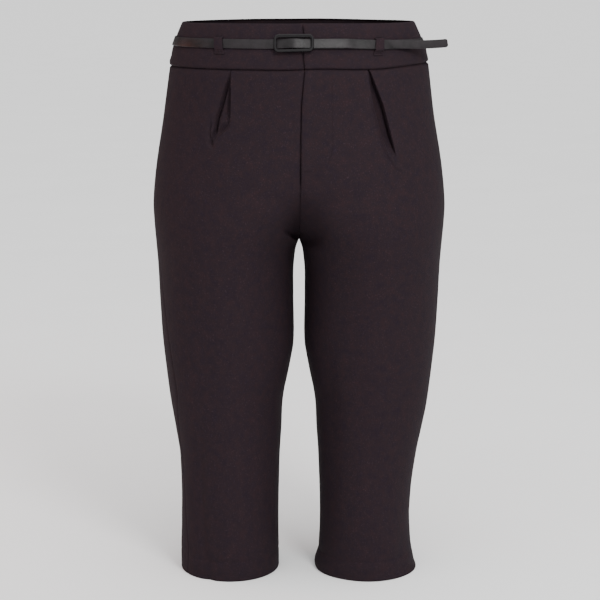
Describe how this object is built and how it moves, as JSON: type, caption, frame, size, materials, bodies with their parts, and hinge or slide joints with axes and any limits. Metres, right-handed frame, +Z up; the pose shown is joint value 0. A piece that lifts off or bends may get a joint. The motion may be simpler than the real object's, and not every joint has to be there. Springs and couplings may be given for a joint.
{
  "type": "cropped trousers",
  "caption": "Cropped straight-leg dress trousers with a pleated front, concealed zip fly, wide waistband, belt loops and a skinny belt with a slide buckle.",
  "frame": {"origin": "centre of the bounding box in plan, on the plane of the hems", "axes": "+Z up from the hems to the waist, -Y out of the front (the fly and the buckle face -Y), +X to the right as seen from the front"},
  "size_m": [0.4068, 0.2903, 0.786],
  "materials": {
    "cloth": "smooth dark charcoal suiting with a faint speckle",
    "lining": "plain dark lining cloth",
    "zip_tape": "woven dark tape",
    "zip_teeth": "moulded nylon",
    "metal": "dark enamelled metal",
    "belt_leather": "semi-gloss fine-grained leather",
    "buckle": "glossy dark moulded frame"
  },
  "bodies": {
    "trousers": {"front_panel_left": "cloth", "front_panel_right": "cloth", "back_panel_left": "cloth", "back_panel_right": "cloth", "waistband_front_left": "cloth", "waistband_front_right": "cloth", "waistband_back": "cloth", "waist_facing_left": "lining", "waist_facing_right": "lining", "waist_facing_back": "lining", "waist_tab": "cloth", "fly_facing": "lining", "fly_shield": "lining", "zip_tape_left": "zip_tape", "zip_tape_right": "zip_tape", "zip_teeth_left": "zip_teeth", "zip_teeth_right": "zip_teeth", "zip_top_stops": "metal", "zip_bottom_stop": "metal", "waist_hook": "metal", "waist_bar": "metal", "loop_front_left": "cloth", "loop_front_right": "cloth", "loop_side_left": "cloth", "loop_side_right": "cloth", "loop_back": "cloth", "belt_strap": "belt_leather", "buckle": "buckle"},
    "zip_slider": {"zip_slider": "metal"},
    "zip_pull": {"zip_pull": "metal"},
    "belt_tail": {"belt_tail": "belt_leather"}
  },
  "joints": [
    {"name": "zip_slide", "type": "slide", "parent": "trousers", "child": "zip_slider", "axis": [0, -0.0649, -0.9979], "range_m": [0, 0.112]},
    {"name": "zip_pull_swing", "type": "hinge", "parent": "zip_slider", "child": "zip_pull", "pos_m": [0.012, -0.1255, 0.71758], "axis": [-1, 0, 0], "range_deg": [0, 5]},
    {"name": "belt_tail_flex", "type": "hinge", "parent": "trousers", "child": "belt_tail", "pos_m": [0.12354, -0.08633, 0.76169], "axis": [0.2361, -0.3151, -0.9192], "range_deg": [-4, 45], "stiffness_Nm_per_rad": 0.02}
  ]
}
